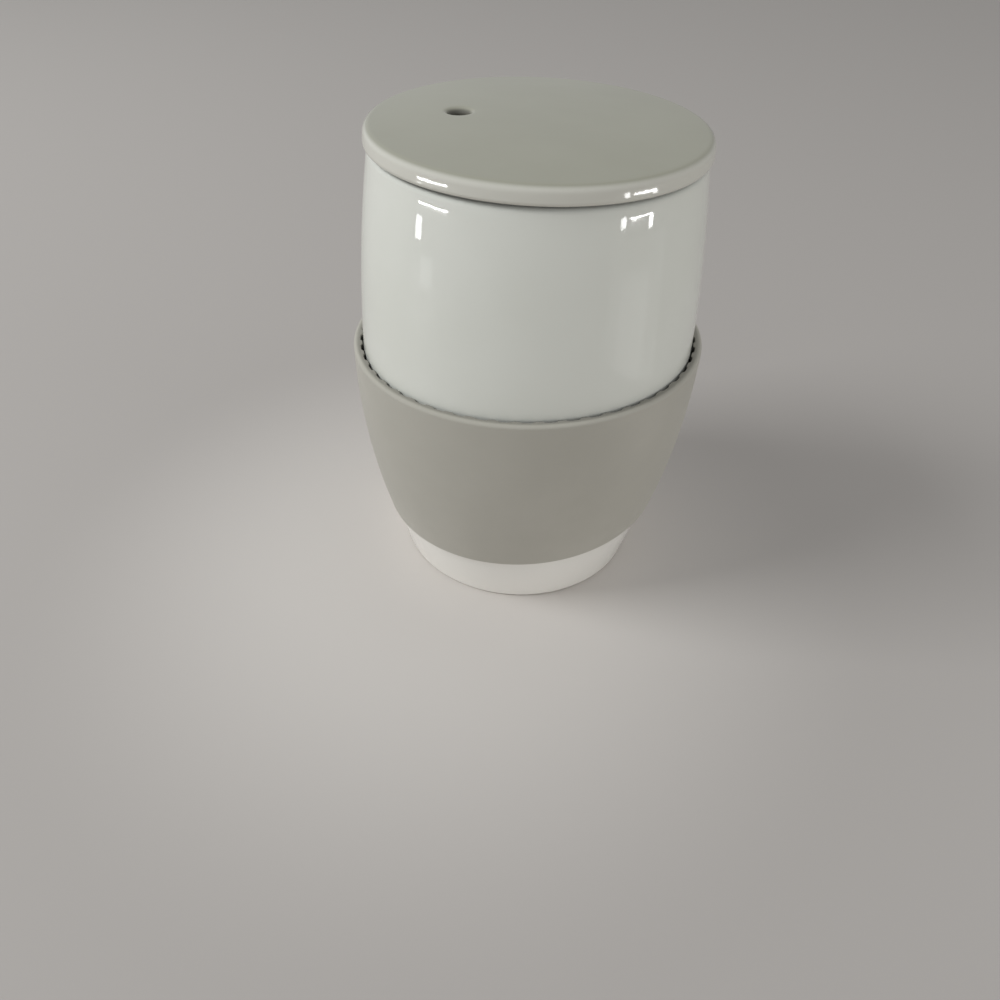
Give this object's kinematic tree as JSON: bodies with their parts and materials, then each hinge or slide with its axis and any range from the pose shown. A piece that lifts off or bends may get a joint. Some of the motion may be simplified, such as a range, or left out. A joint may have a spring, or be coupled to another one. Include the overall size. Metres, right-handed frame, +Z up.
{
  "type": "microwave egg cooker",
  "caption": "Glazed ceramic cup for cooking eggs in a microwave, with a loose domed lid that has a steam hole, and a silicone sleeve ribbed inside, to hold it by.",
  "frame": {"origin": "centre of the cup's foot, on the surface that it stands on", "axes": "+Z up along the cup's axis; +X to the right and +Y to the back, as the picture looks at it, with the steam hole on the left"},
  "size_m": [0.093, 0.093, 0.1219],
  "materials": {
    "white_glaze": "glossy white glaze",
    "silicone": "matt warm grey silicone",
    "grey_glaze": "glossy warm grey glaze"
  },
  "bodies": {
    "cup": {"cup": "white_glaze"},
    "sleeve": {"sleeve": "silicone"},
    "lid": {"lid": "grey_glaze"}
  },
  "joints": [
    {"name": "lid_lift", "type": "slide", "parent": "cup", "child": "lid", "axis": [0, 0, 1], "range_m": [0, 0.06]},
    {"name": "sleeve_slide", "type": "slide", "parent": "cup", "child": "sleeve", "axis": [0, 0, -1], "range_m": [0, 0.07]}
  ]
}
